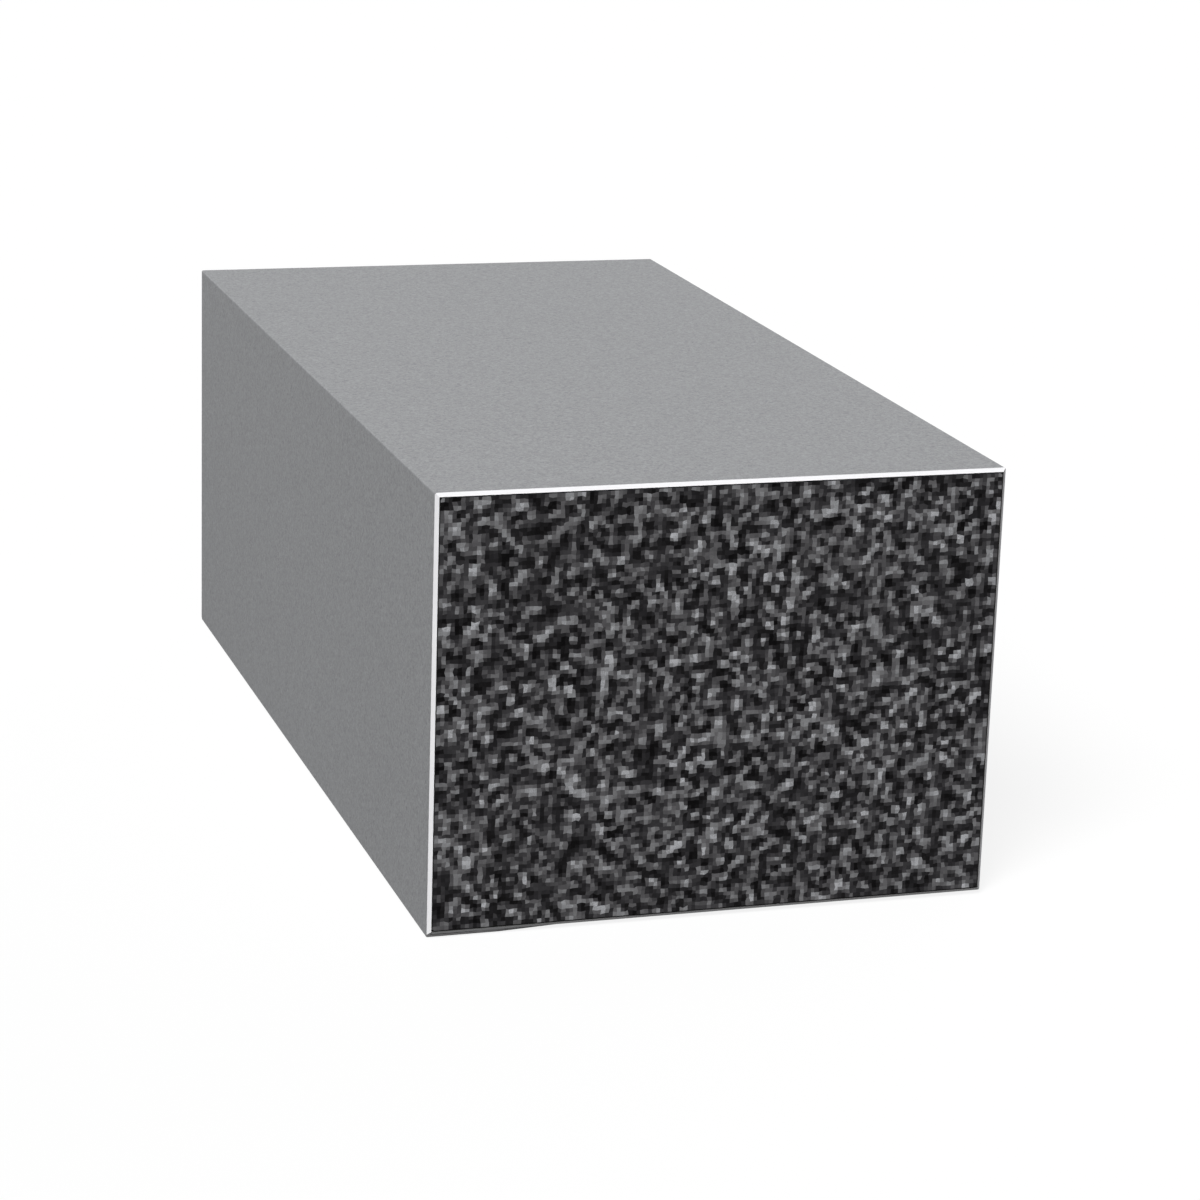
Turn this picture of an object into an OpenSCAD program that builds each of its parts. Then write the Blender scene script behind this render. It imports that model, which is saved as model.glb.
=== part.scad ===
// Chunky compressed-charcoal stick in a sliding paper sleeve.
// Millimetres. X is the width, Y the length and Z up. The origin is the middle of
// the resting face, and the drawing end points to -Y.

/* [Stick] */
// Width over the sleeve
stick_w = 26; // [15:0.5:40]
// Height over the sleeve, resting flap included
stick_h = 20; // [12:0.5:30]
// Length of the charcoal and of its sleeve
stick_l = 51; // [30:1:120]

/* [Charcoal] */
// Flat that breaks each long edge of the pressed bar
arris = 0.08; // [0.02:0.01:0.4]
// Clearance between the bar and the sleeve, on each side
slide_gap = 0.05; // [0.02:0.01:0.15]

/* [Paper sleeve] */
// Thickness of the paper
paper_t = 0.16; // [0.1:0.01:0.4]
// Radius on the outside of a scored and folded edge
fold_outer_r = 0.1; // [0.05:0.01:0.15]
// Radius on the inside of a scored and folded edge
fold_inner_r = 0.03; // [0.01:0.01:0.1]
// Gap where the free edge of the inside panel meets the side panel
butt_gap = 0.05; // [0.02:0.01:0.2]
// Distance from the edge of the glue flap to the side of the sleeve
flap_margin = 1.4; // [0.5:0.1:4]
// Angle of the glue flap's tapered ends
flap_taper = 6; // [2:1:20]

/* [Glue] */
// Thickness of the dried glue under the flap
glue_t = 0.03; // [0.01:0.01:0.1]
// Distance that the glue stops short of the flap's edges
glue_margin = 0.8; // [0.3:0.1:2]

/* [Hidden] */
$fn = 48;

// Room that a cutting shape has beyond what it cuts
spare = 1;
// The square that a folded corner takes up in the section
fold_span = paper_t + fold_inner_r;
// The inside bottom panel lies on the glue, which lies on the flap
panel_z = paper_t + glue_t;
// The hole that the sleeve leaves for the bar
hole_w = stick_w - 2 * paper_t;
hole_floor = panel_z + paper_t;
hole_roof = stick_h - paper_t;
// The bar fills the hole, less its clearance
core_w = hole_w - 2 * slide_gap;
core_floor = hole_floor + slide_gap;
core_h = hole_roof - slide_gap - core_floor;
// The glue flap runs from the left fold almost to the right side
flap_left = -stick_w / 2 + fold_span;
flap_right = stick_w / 2 - flap_margin;

// Half the length of the tapered flap at a place across it. At the fold, that is
// what the bevelled ends leave of the resting face.
function flap_reach(x) = stick_l / 2 - hole_floor - (x - flap_left) * tan(flap_taper);

// A folded corner of the paper, with its outside corner at [x, z]. The paper runs
// from there towards +X or -X, and towards +Z or -Z, as the signs of to_x and to_z say.
module fold(x, z, to_x, to_z) {
    translate([x, z])
        mirror([to_x < 0 ? 1 : 0, 0])
            mirror([0, to_z < 0 ? 1 : 0])
                difference() {
                    square(fold_span);
                    difference() {
                        square(fold_outer_r);
                        translate([fold_outer_r, fold_outer_r])
                            circle(r = fold_outer_r);
                    }
                    translate([fold_span, fold_span])
                        circle(r = fold_inner_r);
                }
}

// A flat run of paper across the section, from one corner to the opposite one
module panel(from, to) {
    translate(from)
        square([to[0] - from[0], to[1] - from[1]]);
}

// The sleeve's section: one strip of paper, folded four times
module sleeve_section() {
    left = -stick_w / 2;
    right = stick_w / 2;
    // inside bottom panel, ending just short of the left panel
    panel([left + paper_t + butt_gap, panel_z], [right - fold_span, hole_floor]);
    fold(right, panel_z, -1, 1);
    // right panel
    panel([right - paper_t, panel_z + fold_span], [right, stick_h - fold_span]);
    fold(right, stick_h, -1, -1);
    // top panel
    panel([left + fold_span, hole_roof], [right - fold_span, stick_h]);
    fold(left, stick_h, 1, -1);
    // left panel
    panel([left, fold_span], [left + paper_t, stick_h - fold_span]);
    fold(left, 0, 1, 1);
    // glue flap, which the stick rests on
    panel([flap_left, 0], [flap_right, paper_t]);
}

// Lays a drawing of the cross section along the length of the stick
module along_length(length) {
    rotate([90, 0, 0])
        linear_extrude(height = length, center = true)
            children();
}

// The space inside both bevelled ends, drawn as seen from above
module bevel_plan() {
    half_w = stick_w / 2;
    half_l = stick_l / 2;
    polygon([
        for (side = [[1, 1], [-1, 1], [-1, -1], [1, -1]])
            let (edge = [side[0] * half_w, side[1] * (half_l - paper_t)],
                 end = [side[0] * (half_w - paper_t), side[1] * half_l])
            each (side[0] * side[1] > 0 ? [edge, end] : [end, edge])
    ]);
}

// The same space, drawn as seen from the side, with x for the length and y for the height
module bevel_side() {
    half_l = stick_l / 2;
    top = [
        [half_l, hole_roof],
        [half_l - paper_t, stick_h],
        [-half_l + paper_t, stick_h],
        [-half_l, hole_roof]
    ];
    bottom = [
        [-half_l, hole_floor],
        [-half_l + hole_floor, 0],
        [half_l - hole_floor, 0],
        [half_l, hole_floor]
    ];
    polygon(concat(top, bottom));
}

// What is cut off one end of the glue flap, as seen from above
module flap_trim() {
    right = flap_right + spare;
    polygon([
        [flap_left, flap_reach(flap_left)],
        [right, flap_reach(right)],
        [right, stick_l],
        [flap_left, stick_l]
    ]);
}

module charcoal_core() {
    color("#2b2829")
        translate([0, 0, core_floor + core_h / 2])
            along_length(stick_l)
                difference() {
                    square([core_w, core_h], center = true);
                    for (sx = [-1, 1], sz = [-1, 1])
                        translate([sx * core_w / 2, sz * core_h / 2])
                            rotate(45)
                                square(arris * sqrt(2), center = true);
                }
}

module paper_sleeve() {
    color("#9d9ea0")
        difference() {
            intersection() {
                along_length(stick_l)
                    sleeve_section();
                linear_extrude(height = stick_h)
                    bevel_plan();
                rotate([90, 0, 90])
                    linear_extrude(height = stick_w, center = true)
                        bevel_side();
            }
            for (end = [0, 1])
                mirror([0, end, 0])
                    translate([0, 0, -spare])
                        linear_extrude(height = spare + paper_t + glue_t / 2)
                            flap_trim();
        }
}

module seam_glue() {
    left = flap_left + glue_margin;
    right = flap_right - glue_margin;
    color("#d8cfae")
        translate([0, 0, paper_t])
            linear_extrude(height = glue_t)
                polygon([
                    [left, -flap_reach(left) + glue_margin],
                    [right, -flap_reach(right) + glue_margin],
                    [right, flap_reach(right) - glue_margin],
                    [left, flap_reach(left) - glue_margin]
                ]);
}

charcoal_core();
paper_sleeve();
seam_glue();
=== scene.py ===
"""A chunky stick of pressed charcoal in a sliding sleeve of grey paper, in a white studio.

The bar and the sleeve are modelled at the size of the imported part. Lengths in the
dataclasses are millimetres, and Blender's own units are metres.
"""
import logging
import math
from collections.abc import Callable, Iterator
from contextlib import contextmanager
from dataclasses import dataclass, field
from enum import Enum

import bmesh
import bpy
import numpy as np
from mathutils import Matrix, Vector


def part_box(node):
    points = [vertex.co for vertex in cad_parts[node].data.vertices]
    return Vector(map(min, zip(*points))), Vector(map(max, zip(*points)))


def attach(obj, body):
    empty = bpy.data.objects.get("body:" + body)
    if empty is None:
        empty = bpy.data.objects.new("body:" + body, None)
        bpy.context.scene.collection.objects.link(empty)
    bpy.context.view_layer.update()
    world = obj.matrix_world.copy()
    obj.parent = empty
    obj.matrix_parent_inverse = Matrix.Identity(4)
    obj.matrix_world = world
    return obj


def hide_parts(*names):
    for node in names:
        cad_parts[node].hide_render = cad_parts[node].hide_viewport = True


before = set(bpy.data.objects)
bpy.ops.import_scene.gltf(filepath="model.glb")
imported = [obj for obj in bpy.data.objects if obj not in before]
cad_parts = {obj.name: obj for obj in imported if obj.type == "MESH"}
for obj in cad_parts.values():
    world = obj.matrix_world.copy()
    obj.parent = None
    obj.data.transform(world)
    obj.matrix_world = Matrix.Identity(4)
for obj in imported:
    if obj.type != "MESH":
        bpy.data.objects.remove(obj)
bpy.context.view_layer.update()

MM = 0.001
log = logging.getLogger("charcoal_stick")

Key = str | int
# The places of a colour mix's sockets, whose names repeat
MIX_FACTOR, MIX_A, MIX_B, MIX_RESULT = 0, 6, 7, 2


def linear(hex_colour: str) -> tuple[float, float, float, float]:
    """Turns an sRGB hex colour into linear light.

    Args:
        hex_colour: Six hex digits after a hash sign.

    Returns:
        Red, green, blue and an alpha of 1.
    """
    channels = [int(hex_colour[i : i + 2], 16) / 255 for i in (1, 3, 5)]
    lit = [c / 12.92 if c <= 0.04045 else ((c + 0.055) / 1.055) ** 2.4 for c in channels]
    return (*lit, 1.0)


def add_node(
    tree: bpy.types.NodeTree,
    kind: str,
    settings: dict[str, object] | None = None,
    values: dict[Key, object] | None = None,
    links: dict[Key, bpy.types.NodeSocket] | None = None,
) -> bpy.types.Node:
    """Adds a node to a tree, with its settings, its input values and its links.

    Args:
        tree: The node tree that gets the node.
        kind: The node's type name.
        settings: Attributes of the node, by name.
        values: Values of its unlinked inputs, by name or by number.
        links: The outputs that feed its other inputs, by the input's name or number.

    Returns:
        The new node.
    """
    node = tree.nodes.new(kind)
    for name, value in (settings or {}).items():
        setattr(node, name, value)
    for name, value in (values or {}).items():
        node.inputs[name].default_value = value
    for name, socket in (links or {}).items():
        tree.links.new(socket, node.inputs[name])
    return node


def set_stops(ramp: bpy.types.ColorRamp, stops: dict[float, str]) -> None:
    """Gives a colour ramp its stops.

    Args:
        ramp: The ramp, which holds its first two stops already.
        stops: Each stop's sRGB hex colour, by its place from 0 to 1, in order.
    """
    while len(ramp.elements) < len(stops):
        ramp.elements.new(0.5)
    for element, (place, colour) in zip(ramp.elements, stops.items(), strict=True):
        element.position = place
        element.color = linear(colour)


def new_material(name: str) -> tuple[bpy.types.Material, bpy.types.NodeTree]:
    """Makes an empty node material.

    Args:
        name: The real material's name.

    Returns:
        The material, and its node tree.
    """
    material = bpy.data.materials.new(name)
    material.use_nodes = True
    material.node_tree.nodes.clear()
    return material, material.node_tree


# ---------------------------------------------------------------- finishes


@dataclass(frozen=True)
class PressedCharcoal:
    """Charcoal dust and clay binder, pressed dry: black, matt and granular.

    Each face of the mesh carries how pale its grain is, from 0 to 1, as the attribute
    "grain". Pale flakes of wood char lie in black dust, and shine a little more. The dust's
    span is the noise values between which it goes from its darkest to its palest.
    """

    name: str
    stops: dict[float, str]
    roughest: float
    smoothest: float
    shine: float
    dust_grit: float = 0.05
    dust_depth: float = 0.012
    dust_tone: float = 0.03
    dust_span: tuple[float, float] = (0.25, 0.75)

    def material(self) -> bpy.types.Material:
        """Makes the material.

        Returns:
            The new material.
        """
        material, tree = new_material(self.name)
        grain = add_node(tree, "ShaderNodeAttribute", {"attribute_name": "grain"})
        place = add_node(tree, "ShaderNodeTexCoord")
        # Fine dust in and between the grains, at the size of its grit
        dust = add_node(
            tree,
            "ShaderNodeTexNoise",
            values={"Scale": 1 / (self.dust_grit * MM), "Detail": 3.0, "Roughness": 0.6},
            links={"Vector": place.outputs["Object"]},
        )
        speckle = add_node(
            tree,
            "ShaderNodeMapRange",
            values={
                "From Min": self.dust_span[0],
                "From Max": self.dust_span[1],
                "To Min": -self.dust_tone,
                "To Max": self.dust_tone,
            },
            links={"Value": dust.outputs["Fac"]},
        )
        paleness = add_node(
            tree,
            "ShaderNodeMath",
            {"operation": "ADD", "use_clamp": True},
            links={0: grain.outputs["Fac"], 1: speckle.outputs["Result"]},
        )
        tone = add_node(tree, "ShaderNodeValToRGB", links={"Fac": paleness.outputs[0]})
        set_stops(tone.color_ramp, self.stops)
        roughness = add_node(
            tree,
            "ShaderNodeMapRange",
            values={"To Min": self.roughest, "To Max": self.smoothest},
            links={"Value": grain.outputs["Fac"]},
        )
        bump = add_node(
            tree,
            "ShaderNodeBump",
            values={"Strength": 1.0, "Distance": self.dust_depth * MM},
            links={"Height": dust.outputs["Fac"]},
        )
        shader = add_node(
            tree,
            "ShaderNodeBsdfPrincipled",
            values={"IOR": 1.5, "Specular IOR Level": self.shine},
            links={
                "Base Color": tone.outputs["Color"],
                "Roughness": roughness.outputs["Result"],
                "Normal": bump.outputs["Normal"],
            },
        )
        add_node(tree, "ShaderNodeOutputMaterial", links={"Surface": shader.outputs[0]})
        return material


@dataclass(frozen=True)
class UncoatedPaper:
    """Uncoated paper: matt, faintly cloudy, and speckled by its fibres.

    cloud and fibre are how far the tone goes up and down, as shares of it. The fibres' span
    is the noise values between which they go from their darkest to their palest.
    """

    name: str
    colour: str
    cloud: float = 0.02
    fibre: float = 0.3
    fibre_span: tuple[float, float] = (0.2, 0.8)
    # Single fibres are too fine to show, so they are drawn as clumps this far apart
    fibre_pitch: float = 0.15
    cloud_pitch: float = 2.2
    fibre_depth: float = 0.004
    roughness: float = 0.88
    shine: float = 0.3

    def shade(self, tree: bpy.types.NodeTree, place: bpy.types.NodeSocket) -> bpy.types.NodeSocket:
        """Adds the paper's colour before any wear.

        Args:
            tree: The material's node tree.
            place: The output that gives a point's place.

        Returns:
            The output that gives the colour.
        """
        cloud = add_node(
            tree,
            "ShaderNodeTexNoise",
            values={"Scale": 1 / (self.cloud_pitch * MM), "Detail": 3.0},
            links={"Vector": place},
        )
        fibre = add_node(
            tree,
            "ShaderNodeTexNoise",
            values={"Scale": 1 / (self.fibre_pitch * MM), "Detail": 2.0, "Distortion": 1.2},
            links={"Vector": place},
        )
        cloudiness = add_node(
            tree,
            "ShaderNodeMapRange",
            values={"To Min": 1 - self.cloud, "To Max": 1 + self.cloud},
            links={"Value": cloud.outputs["Fac"]},
        )
        fibrousness = add_node(
            tree,
            "ShaderNodeMapRange",
            values={
                "From Min": self.fibre_span[0],
                "From Max": self.fibre_span[1],
                "To Min": 1 - self.fibre,
                "To Max": 1 + self.fibre,
            },
            links={"Value": fibre.outputs["Fac"]},
        )
        level = add_node(
            tree,
            "ShaderNodeMath",
            {"operation": "MULTIPLY"},
            links={0: cloudiness.outputs["Result"], 1: fibrousness.outputs["Result"]},
        )
        tinted = add_node(
            tree,
            "ShaderNodeVectorMath",
            {"operation": "SCALE"},
            {0: linear(self.colour)[:3]},
            {"Scale": level.outputs[0]},
        )
        return tinted.outputs[0]

    def wear(
        self, tree: bpy.types.NodeTree, place: bpy.types.NodeSocket, colour: bpy.types.NodeSocket
    ) -> bpy.types.NodeSocket:
        """Adds what use has done to the colour. Plain paper has no wear."""
        return colour

    def material(self) -> bpy.types.Material:
        """Makes the material.

        Returns:
            The new material.
        """
        material, tree = new_material(self.name)
        place = add_node(tree, "ShaderNodeTexCoord").outputs["Object"]
        colour = self.wear(tree, place, self.shade(tree, place))
        felt = add_node(
            tree,
            "ShaderNodeTexNoise",
            values={"Scale": 1 / (self.fibre_pitch * MM), "Detail": 4.0, "Roughness": 0.65},
            links={"Vector": place},
        )
        bump = add_node(
            tree,
            "ShaderNodeBump",
            values={"Strength": 1.0, "Distance": self.fibre_depth * MM},
            links={"Height": felt.outputs["Fac"]},
        )
        shader = add_node(
            tree,
            "ShaderNodeBsdfPrincipled",
            values={"Roughness": self.roughness, "IOR": 1.47, "Specular IOR Level": self.shine},
            links={"Base Color": colour, "Normal": bump.outputs["Normal"]},
        )
        add_node(tree, "ShaderNodeOutputMaterial", links={"Surface": shader.outputs[0]})
        return material


@dataclass(frozen=True)
class CreasedPaper(UncoatedPaper):
    """Dyed paper whose face has cracked a little along its folds, so white fibres show.

    half_width, half_height and middle give where the folds run. The cracks' span is the
    noise values between which they go from none to whole.
    """

    half_width: float = 0.0
    half_height: float = 0.0
    middle: float = 0.0
    crack_width: float = 0.07
    crack_pitch: float = 0.5
    crack_colour: str = "#c9cacb"
    crack_share: float = 0.4
    crack_span: tuple[float, float] = (0.35, 0.65)

    def wear(
        self, tree: bpy.types.NodeTree, place: bpy.types.NodeSocket, colour: bpy.types.NodeSocket
    ) -> bpy.types.NodeSocket:
        """Whitens the paper in broken lines along the four folds.

        Args:
            tree: The material's node tree.
            place: The output that gives a point's place.
            colour: The output that gives the colour without wear.

        Returns:
            The output that gives the worn colour.
        """
        parts = add_node(tree, "ShaderNodeSeparateXYZ", links={0: place})
        near = []
        for axis, centre, half in (("X", 0.0, self.half_width), ("Z", self.middle, self.half_height)):
            offset = add_node(
                tree,
                "ShaderNodeMath",
                {"operation": "SUBTRACT"},
                {1: centre * MM},
                {0: parts.outputs[axis]},
            )
            reach = add_node(tree, "ShaderNodeMath", {"operation": "ABSOLUTE"}, links={0: offset.outputs[0]})
            closeness = add_node(
                tree,
                "ShaderNodeMapRange",
                values={"From Min": (half - self.crack_width) * MM, "From Max": half * MM},
                links={"Value": reach.outputs[0]},
            )
            near.append(closeness.outputs["Result"])
        near_fold = add_node(
            tree, "ShaderNodeMath", {"operation": "MULTIPLY"}, links=dict(enumerate(near))
        )
        broken = add_node(
            tree,
            "ShaderNodeTexNoise",
            values={"Scale": 1 / (self.crack_pitch * MM), "Detail": 4.0},
            links={"Vector": place},
        )
        cracks = add_node(
            tree,
            "ShaderNodeMapRange",
            values={
                "From Min": self.crack_span[0],
                "From Max": self.crack_span[1],
                "To Max": self.crack_share,
            },
            links={"Value": broken.outputs["Fac"]},
        )
        share = add_node(
            tree,
            "ShaderNodeMath",
            {"operation": "MULTIPLY", "use_clamp": True},
            links={0: near_fold.outputs[0], 1: cracks.outputs["Result"]},
        )
        worn = add_node(
            tree,
            "ShaderNodeMix",
            {"data_type": "RGBA"},
            {MIX_B: linear(self.crack_colour)},
            {MIX_FACTOR: share.outputs[0], MIX_A: colour},
        )
        return worn.outputs[MIX_RESULT]


@dataclass(frozen=True)
class SmudgedPaper(UncoatedPaper):
    """The white back of the paper, rubbed grey in streaks where charcoal slides on it.

    half_length gives where the sleeve ends: near them the back is painted almost as dark as the
    dust, as painted shade in the gap at the sleeve's mouth. The
    streaks' span is the noise values between which they go from their least to their most.
    """

    half_length: float = 0.0
    smudge_colour: str = "#242324"
    least_smudge: float = 0.04
    most_smudge: float = 0.4
    streak_width: float = 0.9
    streak_length: float = 14.0
    streak_span: tuple[float, float] = (0.38, 0.72)
    # How far in from each end, and how fully, the back is painted dark as shade in the sleeve's mouth
    painted_shade_rim_width: float = 0.6
    painted_shade_rim_share: float = 0.97

    def wear(
        self, tree: bpy.types.NodeTree, place: bpy.types.NodeSocket, colour: bpy.types.NodeSocket
    ) -> bpy.types.NodeSocket:
        """Adds streaks of charcoal dust along the length of the stick, and painted shade near both ends.

        Args:
            tree: The material's node tree.
            place: The output that gives a point's place.
            colour: The output that gives the colour without wear.

        Returns:
            The output that gives the worn colour.
        """
        across, along = 1 / (self.streak_width * MM), 1 / (self.streak_length * MM)
        stretched = add_node(
            tree, "ShaderNodeMapping", values={"Scale": (across, along, across)}, links={"Vector": place}
        )
        streaks = add_node(
            tree,
            "ShaderNodeTexNoise",
            values={"Scale": 1.0, "Detail": 5.0, "Roughness": 0.6},
            links={"Vector": stretched.outputs[0]},
        )
        share = add_node(
            tree,
            "ShaderNodeMapRange",
            values={
                "From Min": self.streak_span[0],
                "From Max": self.streak_span[1],
                "To Min": self.least_smudge,
                "To Max": self.most_smudge,
            },
            links={"Value": streaks.outputs["Fac"]},
        )
        parts = add_node(tree, "ShaderNodeSeparateXYZ", links={0: place})
        reach = add_node(
            tree, "ShaderNodeMath", {"operation": "ABSOLUTE"}, links={0: parts.outputs["Y"]}
        )
        # Painted shade: near both ends the back darkens almost to the smudge colour, as the mouth of the
        # sleeve is in shade
        rim = add_node(
            tree,
            "ShaderNodeMapRange",
            {"interpolation_type": "SMOOTHSTEP"},
            {
                "From Min": (self.half_length - self.painted_shade_rim_width) * MM,
                "From Max": self.half_length * MM,
                "To Max": self.painted_shade_rim_share,
            },
            {"Value": reach.outputs[0]},
        )
        most = add_node(
            tree,
            "ShaderNodeMath",
            {"operation": "MAXIMUM"},
            links={0: share.outputs["Result"], 1: rim.outputs["Result"]},
        )
        smudged = add_node(
            tree,
            "ShaderNodeMix",
            {"data_type": "RGBA"},
            {MIX_B: linear(self.smudge_colour)},
            {MIX_FACTOR: most.outputs[0], MIX_A: colour},
        )
        return smudged.outputs[MIX_RESULT]


@dataclass(frozen=True)
class DriedGlue:
    """Paste that has dried to a thin, slightly glossy film with fine ripples."""

    name: str = "Dried paper paste"
    tones: tuple[str, str] = ("#c9bd95", "#e2dabd")
    tone_places: tuple[float, float] = (0.3, 0.7)
    roughness: float = 0.42
    ripple: float = 0.8
    ripple_depth: float = 0.01

    def material(self) -> bpy.types.Material:
        """Makes the material.

        Returns:
            The new material.
        """
        material, tree = new_material(self.name)
        place = add_node(tree, "ShaderNodeTexCoord")
        ripples = add_node(
            tree,
            "ShaderNodeTexNoise",
            values={"Scale": 1 / (self.ripple * MM), "Detail": 3.0},
            links={"Vector": place.outputs["Object"]},
        )
        tone = add_node(tree, "ShaderNodeValToRGB", links={"Fac": ripples.outputs["Fac"]})
        set_stops(tone.color_ramp, dict(zip(self.tone_places, self.tones, strict=True)))
        bump = add_node(
            tree,
            "ShaderNodeBump",
            values={"Strength": 1.0, "Distance": self.ripple_depth * MM},
            links={"Height": ripples.outputs["Fac"]},
        )
        shader = add_node(
            tree,
            "ShaderNodeBsdfPrincipled",
            values={"Roughness": self.roughness, "IOR": 1.48},
            links={"Base Color": tone.outputs["Color"], "Normal": bump.outputs["Normal"]},
        )
        add_node(tree, "ShaderNodeOutputMaterial", links={"Surface": shader.outputs[0]})
        return material


# Broken char: pale flakes of wood char stand in black dust, and catch the light
BROKEN_CHARCOAL = PressedCharcoal(
    "Pressed charcoal, broken across",
    {
        0.0: "#0c0b0c",
        0.05: "#1b1a1b",
        0.25: "#2d2c2e",
        0.5: "#444345",
        0.75: "#686769",
        0.9: "#878789",
        0.97: "#a0a1a4",
        1.0: "#c6c7cb",
    },
    roughest=0.95,
    smoothest=0.6,
    shine=0.06,
)
# Moulded char: dust dragged flat along the mould is darker, smoother and faintly silky
MOULDED_CHARCOAL = PressedCharcoal(
    "Pressed charcoal, smoothed by its mould",
    {0.0: "#1a191a", 0.3: "#242324", 0.7: "#2e2d2f", 1.0: "#444345"},
    roughest=0.75,
    smoothest=0.5,
    shine=0.35,
    dust_depth=0.005,
)
# A blade leaves the undyed middle of the sheet bright and faintly fibrous
PAPER_EDGE = UncoatedPaper("Cut edge of uncoated paper", "#fdfdff", fibre=0.03, fibre_depth=0.006)


# ---------------------------------------------------------------- workbench


class Grip(Enum):
    """What is selected in edit mode."""

    VERTICES = "VERT"
    EDGES = "EDGE"
    FACES = "FACE"


Item = bmesh.types.BMVert | bmesh.types.BMEdge | bmesh.types.BMFace


class Bench:
    """Where pieces are modelled, in millimetres, before they are brought to size."""

    @staticmethod
    def clear() -> None:
        """Leaves nothing selected."""
        bpy.ops.object.select_all(action="DESELECT")

    @staticmethod
    def take(piece: bpy.types.Object) -> None:
        """Selects a piece alone, and makes it the active one.

        Args:
            piece: The piece.
        """
        Bench.clear()
        piece.select_set(True)
        bpy.context.view_layer.objects.active = piece

    @staticmethod
    @contextmanager
    def editing(piece: bpy.types.Object) -> Iterator[None]:
        """Holds a piece in edit mode, with nothing else selected.

        Args:
            piece: The piece.

        Yields:
            Nothing, while the piece is in edit mode.
        """
        Bench.take(piece)
        bpy.ops.object.mode_set(mode="EDIT")
        try:
            yield
        finally:
            bpy.ops.object.mode_set(mode="OBJECT")

    @staticmethod
    def grip(piece: bpy.types.Object, grip: Grip, wanted: Callable[[Item], bool]) -> int:
        """Selects the vertices, edges or faces of a piece in edit mode that pass a test.

        Args:
            piece: The piece in edit mode.
            grip: Which of them are selected.
            wanted: The test, by place or normal.

        Returns:
            How many were selected.
        """
        bpy.ops.mesh.select_mode(type=grip.value)
        bpy.ops.mesh.select_all(action="DESELECT")
        mesh = bmesh.from_edit_mesh(piece.data)
        items = {Grip.VERTICES: mesh.verts, Grip.EDGES: mesh.edges, Grip.FACES: mesh.faces}[grip]
        chosen = [item for item in items if wanted(item)]
        for item in chosen:
            item.select_set(True)
        mesh.select_flush_mode()
        bmesh.update_edit_mesh(piece.data)
        return len(chosen)

    @staticmethod
    def apply_modifier(piece: bpy.types.Object, kind: str, **settings: object) -> None:
        """Adds a modifier to a piece, and applies it.

        Args:
            piece: The piece.
            kind: The modifier's type name.
            settings: The modifier's settings, by name.
        """
        Bench.take(piece)
        bpy.ops.object.modifier_add(type=kind)
        modifier = piece.modifiers[-1]
        for name, value in settings.items():
            setattr(modifier, name, value)
        bpy.ops.object.modifier_apply(modifier=modifier.name)

    @staticmethod
    def settle(piece: bpy.types.Object) -> None:
        """Brings a piece from millimetres to its real size, with its place in its mesh.

        Args:
            piece: The finished piece.
        """
        Bench.take(piece)
        bpy.ops.object.transform_apply(location=True, rotation=True, scale=True)
        piece.scale = (MM, MM, MM)
        bpy.ops.object.transform_apply(location=False, rotation=False, scale=True)


def box_mm(node: str) -> tuple[Vector, Vector]:
    """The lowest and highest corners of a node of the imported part, in millimetres."""
    low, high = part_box(node)
    return low / MM, high / MM


def numbers(items: bpy.types.bpy_prop_collection, name: str, width: int) -> np.ndarray:
    """Reads one measure of many mesh items.

    Args:
        items: The mesh's vertices, faces or values.
        name: The measure's name.
        width: How many numbers each item has.

    Returns:
        A row of numbers for each item.
    """
    found = np.empty(len(items) * width, np.float32)
    items.foreach_get(name, found)
    return found.reshape(-1, width)


def counts(items: bpy.types.bpy_prop_collection, name: str) -> np.ndarray:
    """Reads one whole number of each of many mesh items.

    Args:
        items: The mesh's corners or faces.
        name: The number's name.

    Returns:
        The number of each item.
    """
    found = np.empty(len(items), np.int32)
    items.foreach_get(name, found)
    return found


def corner_faces(mesh: bpy.types.Mesh) -> np.ndarray:
    """The number of the face that each corner of a mesh belongs to."""
    return np.repeat(np.arange(len(mesh.polygons)), counts(mesh.polygons, "loop_total"))


# ---------------------------------------------------------------- the charcoal bar


class Axis(Enum):
    """The axis that a face of the bar looks along."""

    X = 0
    Y = 1
    Z = 2


# The axes that run across and up a face of the bar, by the axis that it looks along
FACE_AXES = {Axis.X: (Axis.Y, Axis.Z), Axis.Y: (Axis.X, Axis.Z), Axis.Z: (Axis.Y, Axis.X)}


@dataclass(frozen=True)
class GrainField:
    """How pale each grain of a flat face is, from 0 in the dust to 1 on the palest flake.

    down and across are the weights that a cell gives to the dust of its neighbours each way.
    """

    rows: int
    columns: int
    seed: int
    down: tuple[float, ...]
    across: tuple[float, ...]

    def paleness(self) -> np.ndarray:
        """Scatters the grains.

        Returns:
            The paleness of each cell, in rows and columns, spread evenly from 0 to 1.
        """
        shape = (self.rows + len(self.down) - 1, self.columns + len(self.across) - 1)
        dust = np.random.default_rng(self.seed).standard_normal(shape)
        dust = np.apply_along_axis(np.convolve, 0, dust, self.down, "valid")
        dust = np.apply_along_axis(np.convolve, 1, dust, self.across, "valid")
        order = dust.ravel().argsort(kind="stable").argsort(kind="stable")
        return (order / (dust.size - 1)).reshape(dust.shape)


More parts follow.
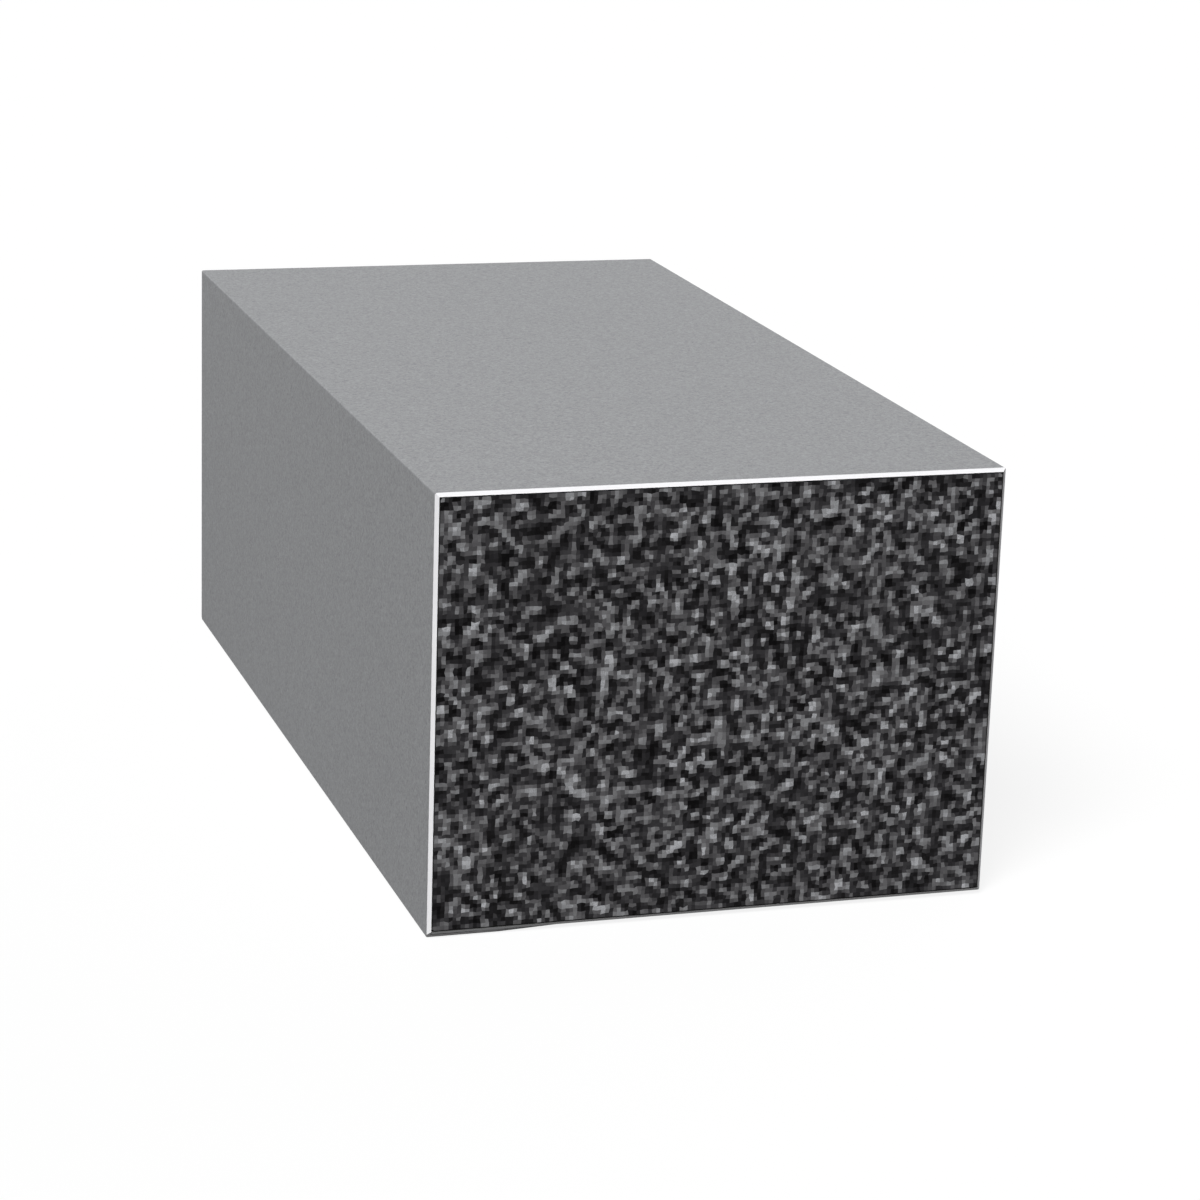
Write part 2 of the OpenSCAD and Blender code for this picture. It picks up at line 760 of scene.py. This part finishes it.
@dataclass
class CharcoalBar:
    """The pressed bar: two broken granular ends, and four faces dragged smooth by the mould."""

    body: str = "stick"
    node: str = "charcoal_core"
    grain: float = 0.183
    arris: float = 0.08
    end_relief: float = 0.06
    side_relief: float = 0.012
    stray: float = 0.06
    stray_seed: int = 4
    drag_steps: int = 64
    # A grain fills two cells each way, and the dust beyond it is a little darker
    grain_spread: tuple[float, ...] = (-0.1, 0.0, 1.0, 1.0, 0.0, -0.1)
    drag_spread: tuple[float, ...] = (0.4, 0.7, 1.0, 1.0, 1.0, 0.7, 0.4)
    map_margin: float = 0.004
    low: Vector = field(init=False)
    high: Vector = field(init=False)

    def __post_init__(self) -> None:
        """Takes the bar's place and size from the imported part."""
        self.low, self.high = box_mm(self.node)

    @property
    def cells(self) -> tuple[int, int, int]:
        """How many cells the bar has along X, Y and Z."""
        size = self.high - self.low
        return round(size.x / self.grain), self.drag_steps, round(size.z / self.grain)

    @property
    def map_width(self) -> float:
        """How wide a face is on the map, where two lie side by side, each with a margin round it."""
        return 0.5 - 2 * self.map_margin

    @property
    def map_heights(self) -> dict[Axis, float]:
        """How high each pair of faces is on the map.

        Returns:
            The heights, by axis: the ends keep their shape, and the sides share the rest.
        """
        size = self.high - self.low
        end = self.map_width * size.z / size.x
        left = 1 - end - len(Axis) * 2 * self.map_margin
        return {
            Axis.Y: end,
            Axis.X: left * size.z / (size.x + size.z),
            Axis.Z: left * size.x / (size.x + size.z),
        }

    def build(self) -> bpy.types.Object:
        """Models the bar, dresses it and sets it on its body.

        Returns:
            The finished piece.
        """
        piece = self.press()
        piece.data.materials.append(BROKEN_CHARCOAL.material())
        piece.data.materials.append(MOULDED_CHARCOAL.material())
        self.spread_grain(piece)
        self.break_ends(piece)
        Bench.settle(piece)
        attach(piece, self.body)
        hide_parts(self.node)
        log.info("%s: %d faces", piece.name, len(piece.data.polygons))
        return piece

    def press(self) -> bpy.types.Object:
        """Models the bar with flat faces, cut into cells of a grain's size.

        Returns:
            The bar, in millimetres.
        """
        size, middle = self.high - self.low, (self.high + self.low) / 2
        columns, steps, rows = self.cells
        Bench.clear()
        bpy.ops.mesh.primitive_grid_add(
            x_subdivisions=columns,
            y_subdivisions=rows,
            size=1,
            location=(middle.x, self.low.y, middle.z),
            rotation=(math.pi / 2, 0, 0),
        )
        piece = bpy.context.object
        piece.name = piece.data.name = "pressed_charcoal_bar"
        piece.scale = (size.x, size.z, 1)
        bpy.ops.object.transform_apply(location=True, rotation=True, scale=True)

        def along(edge: bmesh.types.BMEdge) -> bool:
            """Whether an edge runs the length of the bar."""
            return abs(edge.verts[0].co.y - edge.verts[1].co.y) > size.y / 2

        def at_corner(edge: bmesh.types.BMEdge) -> bool:
            """Whether an edge is one of the bar's four long corners.

            Args:
                edge: An edge of the bar.

            Returns:
                Whether it runs the length of the bar, and within an arris of a corner.
            """
            off = edge.verts[0].co - middle
            in_x, in_z = size.x / 2 - abs(off.x), size.z / 2 - abs(off.z)
            return along(edge) and max(in_x, in_z) < self.arris

        with Bench.editing(piece):
            bpy.ops.mesh.select_all(action="SELECT")
            bpy.ops.mesh.extrude_region_move(TRANSFORM_OT_translate={"value": (0, size.y, 0)})
            Bench.grip(piece, Grip.EDGES, at_corner)
            bpy.ops.mesh.bevel(offset=self.arris, segments=1, affect="EDGES")
            Bench.grip(piece, Grip.EDGES, along)
            bpy.ops.mesh.subdivide(number_cuts=steps - 1)
            bpy.ops.mesh.select_all(action="SELECT")
            bpy.ops.mesh.normals_make_consistent(inside=False)
        return piece

    def spread_grain(self, piece: bpy.types.Object) -> None:
        """Gives each cell its paleness, its finish and its place on the map.

        Args:
            piece: The bar, in millimetres and with flat faces.
        """
        mesh = piece.data
        normals, centres = (numbers(mesh.polygons, name, 3) for name in ("normal", "center"))
        cell = (centres - np.array(self.low)) / np.array(self.high - self.low) * self.cells
        cell = np.minimum(cell.astype(int), np.array(self.cells) - 1)
        facing = np.abs(normals).argmax(axis=1)
        positive = normals[np.arange(len(normals)), facing] > 0
        grain = np.zeros(len(normals))
        for axis, (across, up) in FACE_AXES.items():
            rows, columns = self.cells[up.value], self.cells[across.value]
            spread = self.grain_spread if axis is Axis.Y else self.drag_spread
            for side in (False, True):
                here = (facing == axis.value) & (positive == side)
                face_seed = 2 * axis.value + side
                flakes = GrainField(rows, columns, face_seed, self.grain_spread, spread)
                grain[here] = flakes.paleness()[cell[here, up.value], cell[here, across.value]]
        mesh.attributes.new("grain", "FLOAT", "FACE").data.foreach_set("value", grain)
        # The ends take the first finish, and the sides take the second
        mesh.polygons.foreach_set("material_index", (facing != Axis.Y.value).astype(np.int32))
        self.lay_map(mesh, facing, positive)

    def lay_map(self, mesh: bpy.types.Mesh, facing: np.ndarray, positive: np.ndarray) -> None:
        """Lays the six faces out on one square map, in two columns.

        Args:
            mesh: The bar's mesh.
            facing: The axis that each face looks along.
            positive: Whether each face looks the positive way.
        """
        face = corner_faces(mesh)
        place = numbers(mesh.vertices, "co", 3)[counts(mesh.loops, "vertex_index")]
        share = (place - np.array(self.low)) / np.array(self.high - self.low)
        where = np.empty((len(face), 2), np.float32)
        bottom = self.map_margin
        for axis, height in self.map_heights.items():
            across, up = FACE_AXES[axis]
            here = facing[face] == axis.value
            left = self.map_margin + 0.5 * positive[face][here]
            where[here, 0] = left + share[here, across.value] * self.map_width
            where[here, 1] = bottom + share[here, up.value] * height
            bottom += height + 2 * self.map_margin
        mesh.uv_layers.new(name="OFBake").data.foreach_set("uv", where.ravel())

    def break_ends(self, piece: bpy.types.Object) -> None:
        """Sinks the dust below the grains, deeply on the ends and barely on the sides.

        Args:
            piece: The bar, in millimetres, with its grain spread.
        """
        mesh = piece.data
        grain = numbers(mesh.attributes["grain"].data, "value", 1)[:, 0]
        vertex = counts(mesh.loops, "vertex_index")
        paleness = np.bincount(vertex, grain[corner_faces(mesh)]) / np.bincount(vertex)
        x, y, z = numbers(mesh.vertices, "co", 3).T
        inset = np.minimum.reduce([self.high.x - np.abs(x), z - self.low.z, self.high.z - z])
        broken = (inset > self.grain / 2) & (np.abs(y) > self.high.y - self.grain)
        depth = np.where(broken, self.end_relief, self.side_relief) * (1 - paleness)
        sunk = piece.vertex_groups.new(name="sunk")
        for index, share in enumerate(depth / self.end_relief):
            sunk.add([index], float(share), "REPLACE")
        with Bench.editing(piece):
            for end in (self.low.y, self.high.y):
                here = broken & (y * end > 0)
                Bench.grip(piece, Grip.VERTICES, lambda vert, here=here: here[vert.index])
                bpy.ops.transform.vertex_random(
                    offset=self.stray, uniform=0, normal=0, seed=self.stray_seed
                )
                # The grains stray only within the end, which stays flat until the dust sinks
                bpy.ops.transform.resize(value=(1, 0, 1), center_override=(0, end, 0))
        Bench.apply_modifier(
            piece,
            "DISPLACE",
            strength=-self.end_relief,
            mid_level=0.0,
            direction="NORMAL",
            vertex_group="sunk",
        )
        piece.vertex_groups.clear()
        bpy.ops.object.shade_flat()


# ---------------------------------------------------------------- the paper sleeve


class PaperSide(Enum):
    """Which side of the sheet a face of the sleeve is, as its material slot's number."""

    OUTSIDE = 0
    INSIDE = 1
    CUT = 2


@dataclass
class PaperSleeve:
    """One sheet, scored, folded round the bar, pasted under it and trimmed at 45 degrees."""

    body: str = "sleeve"
    node: str = "paper_sleeve"
    glue_node: str = "seam_glue"
    face_colour: str = "#9d9ea0"
    back_colour: str = "#eceae4"
    fold_outer: float = 0.1
    fold_inner: float = 0.03
    outer_steps: int = 6
    inner_steps: int = 3
    butt_gap: float = 0.05
    glue_margin: float = 0.8
    flap_taper: float = math.radians(6)
    trim_tolerance: float = 1e-5
    crease_angle: float = math.radians(35)
    low: Vector = field(init=False)
    high: Vector = field(init=False)
    thickness: float = field(init=False)
    panel_z: float = field(init=False)
    flap_right: float = field(init=False)

    def __post_init__(self) -> None:
        """Takes the sheet's place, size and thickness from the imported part."""
        self.low, self.high = box_mm(self.node)
        glue_low, glue_high = box_mm(self.glue_node)
        self.thickness = glue_low.z - self.low.z
        self.panel_z = glue_high.z
        self.flap_right = glue_high.x + self.glue_margin

    def build(self) -> bpy.types.Object:
        """Models the sleeve, dresses it and sets it on its body.

        Returns:
            The finished piece.
        """
        piece = self.fold_sheet()
        self.thicken(piece)
        self.round_folds(piece)
        self.trim_ends(piece)
        Bench.settle(piece)
        bpy.ops.object.shade_smooth_by_angle(angle=self.crease_angle)
        middle = (self.high + self.low) / 2
        half = (self.high - self.low) / 2
        grey = CreasedPaper(
            "Dyed uncoated paper",
            self.face_colour,
            half_width=half.x,
            half_height=half.z,
            middle=middle.z,
        )
        # The back of the sheet isn't dyed, and charcoal has rubbed off on it; near both ends it is painted
        # dark as shade
        back = SmudgedPaper(
            "Undyed paper back, smudged with charcoal", self.back_colour, half_length=half.y
        )
        sides = {PaperSide.OUTSIDE: grey, PaperSide.INSIDE: back, PaperSide.CUT: PAPER_EDGE}
        for side, finish in sides.items():
            piece.material_slots[side.value].material = finish.material()
        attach(piece, self.body)
        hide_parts(self.node)
        log.info("%s: %d faces", piece.name, len(piece.data.polygons))
        return piece

    def fold_sheet(self) -> bpy.types.Object:
        """Models the outside face of the sheet, as five panels in a row.

        Returns:
            The open sheet, facing outwards, with a material slot for each side of the paper.
        """
        left, right, top, length = self.low.x, self.high.x, self.high.z, self.high.y - self.low.y
        start = left + self.thickness + self.butt_gap
        Bench.clear()
        bpy.ops.mesh.primitive_plane_add(size=1, location=((start + right) / 2, 0, self.panel_z))
        sheet = bpy.context.object
        sheet.name = sheet.data.name = "folded_paper_sleeve"
        sheet.scale = (right - start, length, 1)
        bpy.ops.object.transform_apply(location=True, rotation=True, scale=True)
        for _ in PaperSide:
            sheet.data.materials.append(None)
        # From the inside bottom panel: up the right side, over the top, down the left, and the flap
        panels = [
            (0, 0, top - self.panel_z),
            (left - right, 0, 0),
            (0, 0, self.low.z - top),
            (self.flap_right - left, 0, 0),
        ]
        taper = 1 - (self.flap_right - left) * math.tan(self.flap_taper) / (length / 2)
        with Bench.editing(sheet):
            bpy.ops.mesh.select_all(action="SELECT")
            bpy.ops.mesh.flip_normals()
            Bench.grip(
                sheet, Grip.EDGES, lambda edge: min(v.co.x for v in edge.verts) > right - self.butt_gap
            )
            for panel in panels:
                bpy.ops.mesh.extrude_region_move(TRANSFORM_OT_translate={"value": panel})
            bpy.ops.transform.resize(value=(1, taper, 1), center_override=(0, 0, 0))
        return sheet

    def thicken(self, piece: bpy.types.Object) -> None:
        """Gives the sheet its thickness, inwards, and its sides their material slots.

        Args:
            piece: The open sheet, in millimetres.
        """
        Bench.apply_modifier(
            piece,
            "SOLIDIFY",
            thickness=self.thickness,
            offset=-1.0,
            use_even_offset=True,
            material_offset=PaperSide.INSIDE.value,
            material_offset_rim=PaperSide.CUT.value,
        )

    def round_folds(self, piece: bpy.types.Object) -> None:
        """Rounds the four scored folds, more on the outside than on the inside.

        Args:
            piece: The thick sheet, in millimetres.
        """
        left, right, top, low = self.low.x, self.high.x, self.high.z, self.low.z
        outer = [(left, low), (left, top), (right, top), (right, self.panel_z)]
        inner = [
            (x - math.copysign(self.thickness, x), z + (self.thickness if z < top else -self.thickness))
            for x, z in outer
        ]
        folds = ((outer, self.fold_outer, self.outer_steps), (inner, self.fold_inner, self.inner_steps))
        for corners, radius, steps in folds:
            with Bench.editing(piece):
                found = Bench.grip(
                    piece, Grip.EDGES, lambda edge, corners=corners: self.runs_along(edge, corners)
                )
                bpy.ops.mesh.bevel(offset=radius, segments=steps, affect="EDGES")
            log.info("folds rounded: %d", found)

    def runs_along(self, edge: bmesh.types.BMEdge, corners: list[tuple[float, float]]) -> bool:
        """Whether an edge runs along a fold.

        Args:
            edge: An edge of the sleeve.
            corners: The X and Z of each fold.

        Returns:
            Whether both its ends lie well within the paper's thickness of the same fold.
        """
        reach = self.thickness / 8
        return any(all(math.hypot(v.co.x - x, v.co.z - z) < reach for v in edge.verts) for x, z in corners)

    def trim_ends(self, piece: bpy.types.Object) -> None:
        """Cuts both ends at 45 degrees on all four sides, down to the inner rim.

        Args:
            piece: The folded sheet, in millimetres.
        """
        half_length = (self.high.y - self.low.y) / 2
        middle = (self.high.z + self.low.z) / 2
        rim = {
            (0, 1): (0, self.high.z - self.thickness),
            (0, -1): (0, self.panel_z + self.thickness),
            (1, 0): (self.high.x - self.thickness, middle),
            (-1, 0): (self.low.x + self.thickness, middle),
        }
        with Bench.editing(piece):
            for end in (-1, 1):
                for (out_x, out_z), (x, z) in rim.items():
                    bpy.ops.mesh.select_all(action="SELECT")
                    bpy.ops.mesh.bisect(
                        plane_co=(x, end * half_length, z),
                        plane_no=(out_x, end, out_z),
                        use_fill=True,
                        clear_outer=True,
                        threshold=self.trim_tolerance,
                    )
            bpy.ops.mesh.select_all(action="SELECT")
            bpy.ops.mesh.normals_make_consistent(inside=False)
            # Of all the sheet's faces, only the cut ones look within 60 degrees of the stick's length
            Bench.grip(piece, Grip.FACES, lambda face: abs(face.normal.y) > math.cos(math.radians(60)))
            piece.active_material_index = PaperSide.CUT.value
            bpy.ops.object.material_slot_assign()


@dataclass
class SeamGlue:
    """The film of paste between the flap and the inside bottom panel."""

    node: str = "seam_glue"

    def build(self) -> bpy.types.Object:
        """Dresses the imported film, whose shape stays.

        Returns:
            The film.
        """
        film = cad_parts[self.node]
        film.material_slots[0].material = DriedGlue().material()
        log.info("%s: dressed as packed", film.name)
        return film


# ---------------------------------------------------------------- the studio


def towards(azimuth: float, elevation: float) -> Vector:
    """The direction from the stick to something at this azimuth and elevation, in radians."""
    level = math.cos(elevation)
    return Vector((math.sin(azimuth) * level, -math.cos(azimuth) * level, math.sin(elevation)))


@dataclass(frozen=True)
class Lamp:
    """A large soft lamp far from the stick. Azimuth 0 is in front of it, and angles are in degrees."""

    name: str
    azimuth: float
    elevation: float
    strength: float
    softness: float

    def hang(self) -> None:
        """Hangs the lamp."""
        lamp = bpy.data.lights.new(self.name, "SUN")
        lamp.energy = self.strength
        lamp.angle = math.radians(self.softness)
        hung = bpy.data.objects.new(self.name, lamp)
        bpy.context.scene.collection.objects.link(hung)
        direction = towards(math.radians(self.azimuth), math.radians(self.elevation))
        hung.rotation_euler = direction.to_track_quat("Z", "Y").to_euler()


@dataclass
class Studio:
    """A white floor and backdrop, a soft key lamp, a weak fill lamp, and a camera at the front left."""

    azimuth: float = math.radians(-17.68)
    elevation: float = math.radians(15.79)
    roll: float = math.radians(1.84)
    distance: float = 179.74
    aim: tuple[float, float, float] = (2.08, -1.31, 7.79)
    lens: float = 107.2
    floor_size: float = 6000.0
    floor_drop: float = 0.01
    floor_paint: str = "#6f6f6f"
    floor_glow: float = 0.86
    sky: str = "#555555"
    backdrop: str = "#ffffff"
    key: Lamp = Lamp("key_lamp", azimuth=-41, elevation=48, strength=3.14, softness=24)
    fill: Lamp = Lamp("fill_lamp", azimuth=130, elevation=8, strength=1.1, softness=50)

    def build(self) -> None:
        """Sets up the floor, the light and the camera."""
        self.lay_floor()
        self.light()
        self.place_camera()
        bpy.context.scene.view_settings.view_transform = "Standard"
        log.info("studio: floor, two lamps, sky and camera")

    @staticmethod
    def seen(tree: bpy.types.NodeTree) -> bpy.types.NodeSocket:
        """Adds the test for a ray that shows the background: straight, mirrored or through glass.

        Args:
            tree: The node tree of the floor or the sky.

        Returns:
            The output that is 1 for such a ray, and 0 for one that carries light.
        """
        ray = add_node(tree, "ShaderNodeLightPath").outputs
        mirrored = add_node(
            tree,
            "ShaderNodeMath",
            {"operation": "MAXIMUM"},
            links={0: ray["Is Glossy Ray"], 1: ray["Is Transmission Ray"]},
        )
        shown = add_node(
            tree,
            "ShaderNodeMath",
            {"operation": "MAXIMUM"},
            links={0: ray["Is Camera Ray"], 1: mirrored.outputs[0]},
        )
        return shown.outputs[0]

    def lay_floor(self) -> None:
        """Lays a floor that is white to the eye, takes a faint shadow and throws little light back."""
        Bench.clear()
        bpy.ops.mesh.primitive_plane_add(
            size=self.floor_size * MM, location=(0, 0, -self.floor_drop * MM)
        )
        floor = bpy.context.object
        floor.name = floor.data.name = "studio_floor"
        material, tree = new_material("Matt white studio paint")
        paint = add_node(tree, "ShaderNodeBsdfDiffuse", values={"Color": linear(self.floor_paint)})
        glow = add_node(tree, "ShaderNodeEmission", values={"Strength": self.floor_glow})
        lit = add_node(tree, "ShaderNodeAddShader", links={0: paint.outputs[0], 1: glow.outputs[0]})
        mixed = add_node(
            tree,
            "ShaderNodeMixShader",
            links={0: self.seen(tree), 1: paint.outputs[0], 2: lit.outputs[0]},
        )
        add_node(tree, "ShaderNodeOutputMaterial", links={"Surface": mixed.outputs[0]})
        floor.data.materials.append(material)

    def light(self) -> None:
        """Hangs the key lamp at the upper left and the fill behind the right, in a dim even sky."""
        self.key.hang()
        self.fill.hang()
        world = bpy.data.worlds.new("studio_sky")
        world.use_nodes = True
        bpy.context.scene.world = world
        tree = world.node_tree
        tree.nodes.clear()
        sky = add_node(tree, "ShaderNodeBackground", values={"Color": linear(self.sky)})
        backdrop = add_node(tree, "ShaderNodeBackground", values={"Color": linear(self.backdrop)})
        mixed = add_node(
            tree,
            "ShaderNodeMixShader",
            links={0: self.seen(tree), 1: sky.outputs[0], 2: backdrop.outputs[0]},
        )
        add_node(tree, "ShaderNodeOutputWorld", links={"Surface": mixed.outputs[0]})

    def place_camera(self) -> None:
        """Places the camera, turned a little about its own line of sight."""
        lens = bpy.data.cameras.new("camera")
        lens.lens = self.lens
        lens.clip_start = MM
        camera = bpy.data.objects.new("camera", lens)
        bpy.context.scene.collection.objects.link(camera)
        back = towards(self.azimuth, self.elevation)
        level = Vector((0, 0, 1)).cross(back).normalized()
        upright = back.cross(level)
        right = math.cos(self.roll) * level + math.sin(self.roll) * upright
        turned = Matrix((right, back.cross(right), back)).transposed()
        camera.rotation_euler = turned.to_euler()
        camera.location = (Vector(self.aim) + back * self.distance) * MM
        bpy.context.scene.camera = camera


def main() -> None:
    """Builds the stick, its sleeve and the studio."""
    logging.basicConfig(level=logging.INFO, format="%(name)s: %(message)s")
    CharcoalBar().build()
    PaperSleeve().build()
    SeamGlue().build()
    Studio().build()


if __name__ == "__main__":
    main()
